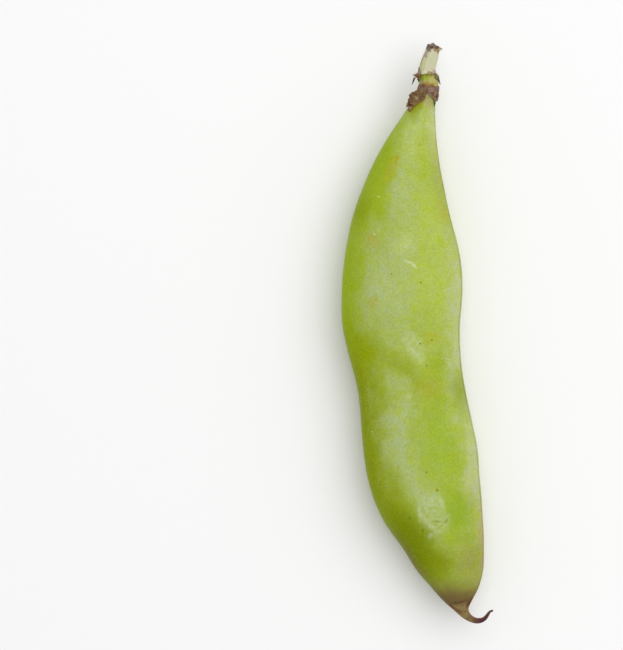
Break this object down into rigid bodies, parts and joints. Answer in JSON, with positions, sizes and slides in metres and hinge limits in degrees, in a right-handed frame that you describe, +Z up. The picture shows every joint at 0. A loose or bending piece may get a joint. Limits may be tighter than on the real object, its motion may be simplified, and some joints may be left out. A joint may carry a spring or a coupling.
{
  "type": "broad bean pod",
  "caption": "Whole green broad bean pod lying on its side, swollen over its seeds, with a hooked beak, a short stalk and withered flower remains at the neck.",
  "frame": {"origin": "on the surface that the pod lies on, under the middle of the whole piece's bounding box", "axes": "+Y along the pod towards its stalk, +Z up out of its upper broad side, +X across its breadth, towards the side that the beak hooks to"},
  "size_m": [0.0365, 0.1393, 0.0188],
  "materials": {
    "pod_skin": "waxy green pod skin, satin, with a pale bloom",
    "stalk_flesh": "pale green-cream fresh stalk, matte",
    "withered_calyx": "dry brown calyx, matte",
    "withered_sheath": "dry dark brown membrane, matte",
    "withered_petal": "dry brown petal, crumpled, matte"
  },
  "bodies": {
    "root": {"pod": "pod_skin", "stalk": "stalk_flesh", "calyx": "withered_calyx", "stamen_sheath": "withered_sheath", "petal": "withered_petal"}
  },
  "joints": []
}
